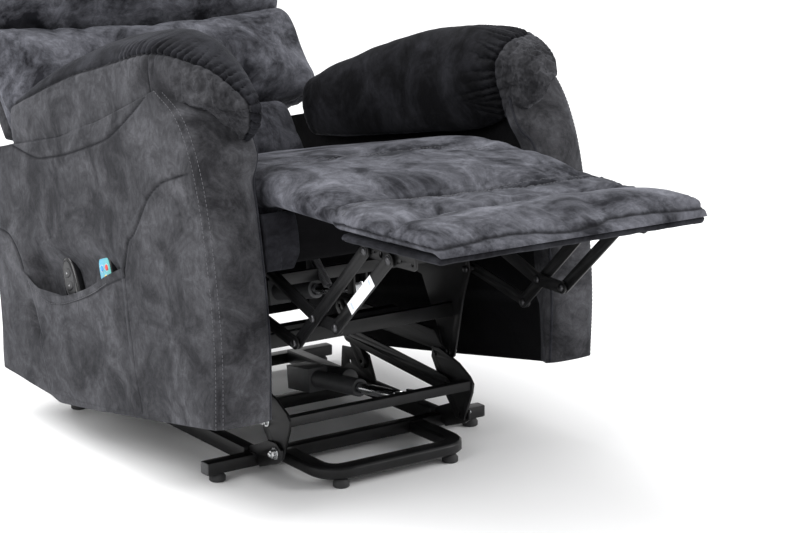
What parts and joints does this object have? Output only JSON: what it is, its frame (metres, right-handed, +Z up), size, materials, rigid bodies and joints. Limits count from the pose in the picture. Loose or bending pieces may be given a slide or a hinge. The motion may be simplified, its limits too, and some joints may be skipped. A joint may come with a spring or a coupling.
{
  "type": "lift recliner chair",
  "caption": "Powered lift recliner chair with upholstered arms, reclining back, folding chaise footrest, side pocket and handsets on a parallelogram lift base.",
  "frame": {"origin": "centre of the footprint box, on the floor", "axes": "+Z up, the sitter faces -Y, +X is the sitter's left"},
  "size_m": [0.8, 1.6435, 0.9384],
  "materials": {
    "black_powder_coat": "satin powder coat",
    "glide_rubber": "matte",
    "bright_rod": "ground steel",
    "motor_plastic": "fine texture",
    "plywood_frame": "raw plywood under black cloth",
    "velour": "mottled dark grey suede velour",
    "handset_plastic": "smooth",
    "key_rubber": "matte",
    "key_blue": "smooth",
    "key_red": "smooth",
    "key_yellow": "smooth"
  },
  "bodies": {
    "base": {"base_front_tube": "black_powder_coat", "base_front_loop": "black_powder_coat", "base_mid_tube": "black_powder_coat", "base_rear_tube": "black_powder_coat", "lift_cylinder_housing": "motor_plastic", "base_side_rail_right": "black_powder_coat", "base_side_rail_left": "black_powder_coat", "base_pivot_plate_right": "black_powder_coat", "base_pivot_plate_left": "black_powder_coat", "base_rear_plate_right": "black_powder_coat", "base_rear_plate_left": "black_powder_coat", "front_foot_right": "glide_rubber", "front_foot_left": "glide_rubber", "loop_foot_right": "glide_rubber", "loop_foot_left": "glide_rubber", "rear_foot_right": "glide_rubber", "rear_foot_left": "glide_rubber"},
    "lift_links": {"lift_link_frame": "black_powder_coat"},
    "tie_bars": {"tie_bar_right": "black_powder_coat", "tie_bar_left": "black_powder_coat"},
    "rear_links": {"rear_lift_link_right": "black_powder_coat", "rear_lift_link_left": "black_powder_coat"},
    "carriage": {"carriage": "black_powder_coat"},
    "lift_rod": {"lift_cylinder_rod": "bright_rod"},
    "chair_frame": {"side_plate_right": "black_powder_coat", "side_plate_left": "black_powder_coat", "frame_cross_tube": "black_powder_coat", "front_rail": "plywood_frame", "seat_deck": "plywood_frame", "seat_cushion": "velour", "calf_pad": "velour", "arm_right": "velour", "arm_left": "velour", "arm_pad_right": "velour", "arm_pad_left": "velour", "side_pocket": "velour", "handset_body": "handset_plastic", "remote_body": "handset_plastic"},
    "footrest_drive": {"footrest_drive_frame": "black_powder_coat"},
    "long_links": {"long_link_right": "black_powder_coat", "long_link_left": "black_powder_coat"},
    "short_links": {"short_link_right": "black_powder_coat", "short_link_left": "black_powder_coat"},
    "stay_links": {"stay_link_right": "black_powder_coat", "stay_link_left": "black_powder_coat"},
    "footrest_board": {"footrest_bracket_right": "black_powder_coat", "footrest_bracket_left": "black_powder_coat", "footrest_board": "plywood_frame", "footrest_pad": "velour"},
    "footrest_cylinder": {"footrest_cylinder_housing": "motor_plastic"},
    "footrest_rod": {"footrest_cylinder_rod": "bright_rod"},
    "back": {"back_frame": "plywood_frame", "lumbar_cushion": "velour", "middle_cushion": "velour", "head_cushion": "velour"},
    "handset_up_key": {"handset_up_button": "key_rubber"},
    "handset_down_key": {"handset_down_button": "key_rubber"},
    "remote_blue_key": {"remote_blue_button": "key_blue"},
    "remote_red_key": {"remote_red_button": "key_red"},
    "remote_yellow_key": {"remote_yellow_button": "key_yellow"}
  },
  "joints": [
    {"name": "lift", "type": "hinge", "parent": "base", "child": "lift_links", "pos_m": [0, -0.2529, 0.057], "axis": [1, 0, 0], "range_deg": [-40, 35]},
    {"name": "carriage_pivot", "type": "hinge", "parent": "lift_links", "child": "carriage", "pos_m": [0, -0.1779, 0.155], "axis": [1, 0, 0], "range_deg": [-35, 40]},
    {"name": "rear_link_pivot", "type": "hinge", "parent": "base", "child": "rear_links", "pos_m": [0, 0.0716, 0.082], "axis": [1, 0, 0], "range_deg": [-40, 35]},
    {"name": "tie_bar_pivot", "type": "hinge", "parent": "lift_links", "child": "tie_bars", "pos_m": [0, -0.2154, 0.106], "axis": [1, 0, 0], "range_deg": [-35, 40]},
    {"name": "lift_rod_slide", "type": "slide", "parent": "base", "child": "lift_rod", "axis": [0, -0.993, 0.1185], "range_m": [-0.041, 0.036]},
    {"name": "tilt", "type": "hinge", "parent": "carriage", "child": "chair_frame", "pos_m": [0, -0.1779, 0.155], "axis": [1, 0, 0], "range_deg": [0, 30]},
    {"name": "footrest", "type": "hinge", "parent": "chair_frame", "child": "footrest_drive", "pos_m": [0, -0.26526, 0.4], "axis": [1, 0, 0], "range_deg": [0, 80], "deforming": ["calf_pad"]},
    {"name": "long_link_pivot", "type": "hinge", "parent": "footrest_drive", "child": "long_links", "pos_m": [0, -0.43095, 0.34385], "axis": [1, 0, 0], "range_deg": [-86, 0]},
    {"name": "short_link_pivot", "type": "hinge", "parent": "footrest_drive", "child": "short_links", "pos_m": [0, -0.49721, 0.34187], "axis": [1, 0, 0], "range_deg": [-86, 0]},
    {"name": "board_pivot", "type": "hinge", "parent": "long_links", "child": "footrest_board", "pos_m": [0, -0.58054, 0.48477], "axis": [1, 0, 0], "range_deg": [0, 86]},
    {"name": "stay_pivot", "type": "hinge", "parent": "chair_frame", "child": "stay_links", "pos_m": [0, -0.22944, 0.32396], "axis": [1, 0, 0], "range_deg": [0, 91]},
    {"name": "footrest_cylinder_pivot", "type": "hinge", "parent": "chair_frame", "child": "footrest_cylinder", "pos_m": [0, 0.05038, 0.26345], "axis": [1, 0, 0], "range_deg": [-8, 0]},
    {"name": "footrest_rod_slide", "type": "slide", "parent": "footrest_cylinder", "child": "footrest_rod", "axis": [0, -0.9738, 0.2276], "range_m": [-0.073, 0]},
    {"name": "recline", "type": "hinge", "parent": "chair_frame", "child": "back", "pos_m": [0, 0.32955, 0.40893], "axis": [1, 0, 0], "range_deg": [-20, 14]},
    {"name": "handset_up_press", "type": "slide", "parent": "chair_frame", "child": "handset_up_key", "axis": [1, 0, 0], "range_m": [0, 0.0015], "stiffness_N_per_m": 300},
    {"name": "handset_down_press", "type": "slide", "parent": "chair_frame", "child": "handset_down_key", "axis": [1, 0, 0], "range_m": [0, 0.0015], "stiffness_N_per_m": 300},
    {"name": "remote_blue_press", "type": "slide", "parent": "chair_frame", "child": "remote_blue_key", "axis": [1, 0, 0], "range_m": [0, 0.0015], "stiffness_N_per_m": 300},
    {"name": "remote_red_press", "type": "slide", "parent": "chair_frame", "child": "remote_red_key", "axis": [1, 0, 0], "range_m": [0, 0.0015], "stiffness_N_per_m": 300},
    {"name": "remote_yellow_press", "type": "slide", "parent": "chair_frame", "child": "remote_yellow_key", "axis": [1, 0, 0], "range_m": [0, 0.0015], "stiffness_N_per_m": 300}
  ],
  "couplings": [
    {"joint": "carriage_pivot", "follows": "lift", "ratio": -1},
    {"joint": "rear_link_pivot", "follows": "lift", "ratio": 1},
    {"joint": "tie_bar_pivot", "follows": "lift", "ratio": -1},
    {"joint": "lift_rod_slide", "follows": "lift", "m_per_rad": 0.0556},
    {"joint": "long_link_pivot", "follows": "footrest", "ratio": -1.065},
    {"joint": "short_link_pivot", "follows": "footrest", "ratio": -1.065},
    {"joint": "board_pivot", "follows": "footrest", "ratio": 1.065},
    {"joint": "stay_pivot", "follows": "footrest", "ratio": 1.135},
    {"joint": "footrest_cylinder_pivot", "follows": "footrest", "ratio": -0.0875},
    {"joint": "footrest_rod_slide", "follows": "footrest", "m_per_rad": -0.0512}
  ]
}
